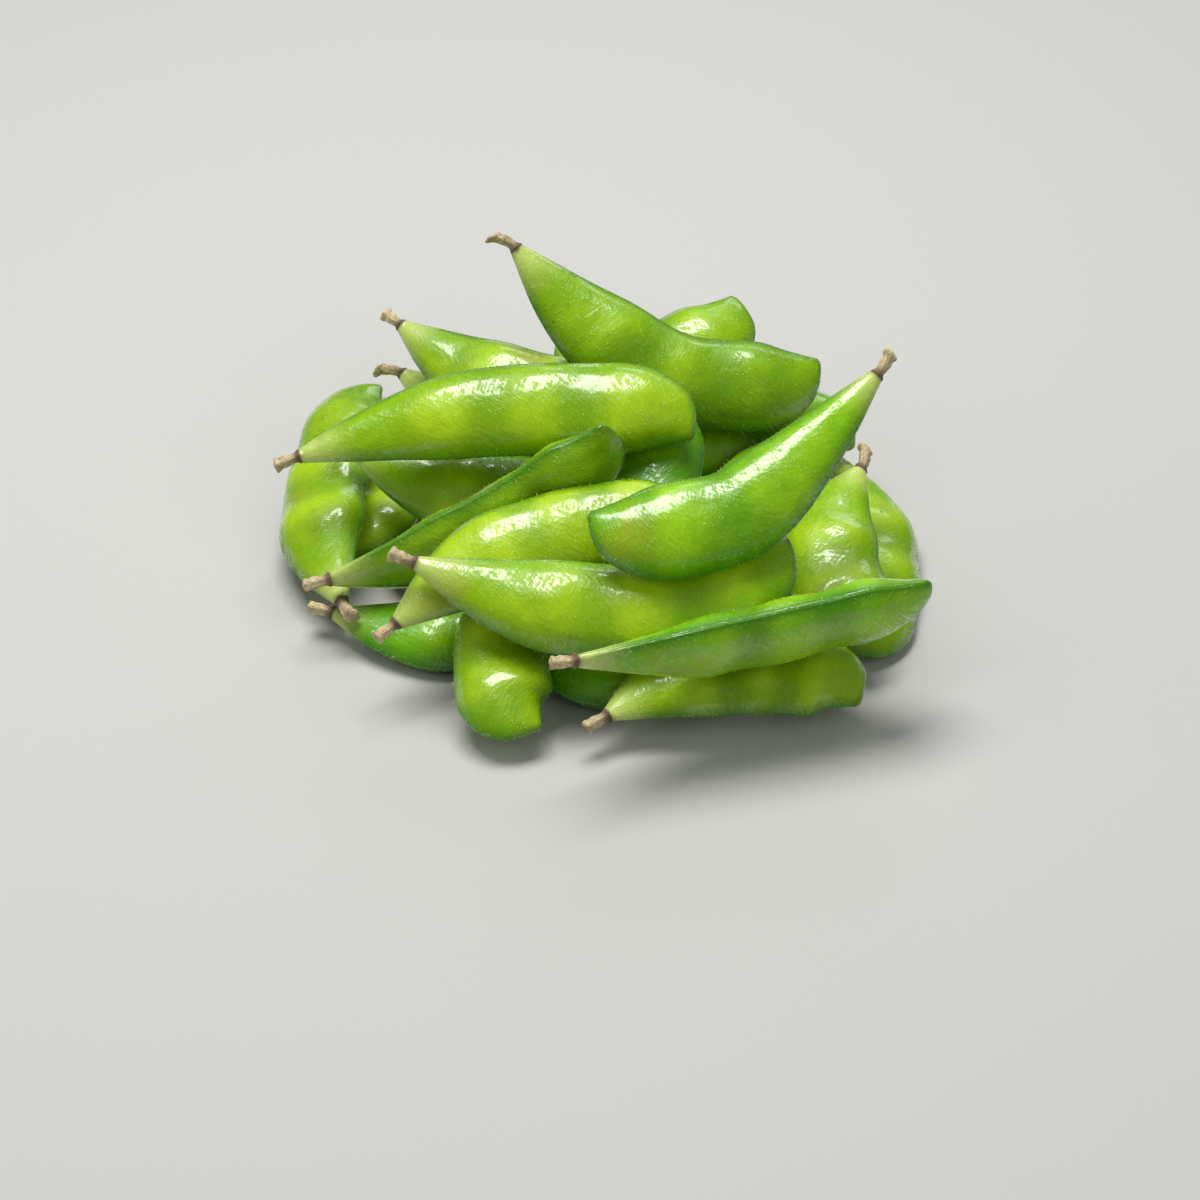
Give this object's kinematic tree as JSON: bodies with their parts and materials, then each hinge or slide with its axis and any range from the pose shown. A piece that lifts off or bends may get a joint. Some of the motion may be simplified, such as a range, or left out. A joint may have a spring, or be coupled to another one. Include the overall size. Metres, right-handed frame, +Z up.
{
  "type": "edamame pod bundle",
  "caption": "Loose heap of cooked edamame pods lying across one another, each with a stem stub, narrow neck, swellings over its beans and a beak.",
  "frame": {"origin": "centre of the heap's bounding box, on the plane the pods lie on", "axes": "+Z up, -Y towards the side the heap is served from, X across it"},
  "size_m": [0.1082, 0.1156, 0.0501],
  "materials": {
    "pod_fresh_green": "wet, glossy pod skin, saturated green",
    "pod_yellow_green": "wet, glossy pod skin, yellow-green",
    "pod_olive": "wet, glossy pod skin, olive green"
  },
  "bodies": {
    "root": {"pod_01": "pod_yellow_green", "pod_02": "pod_olive", "pod_03": "pod_fresh_green", "pod_04": "pod_olive", "pod_05": "pod_yellow_green", "pod_06": "pod_olive", "pod_07": "pod_olive", "pod_08": "pod_fresh_green", "pod_09": "pod_yellow_green", "pod_10": "pod_olive", "pod_11": "pod_yellow_green", "pod_12": "pod_fresh_green", "pod_13": "pod_olive", "pod_14": "pod_yellow_green", "pod_15": "pod_olive", "pod_16": "pod_olive", "pod_17": "pod_fresh_green", "pod_18": "pod_yellow_green", "pod_19": "pod_olive", "pod_20": "pod_fresh_green", "pod_21": "pod_yellow_green", "pod_22": "pod_olive", "pod_23": "pod_yellow_green", "pod_24": "pod_olive", "pod_25": "pod_fresh_green", "pod_26": "pod_yellow_green", "pod_27": "pod_fresh_green"}
  },
  "joints": []
}
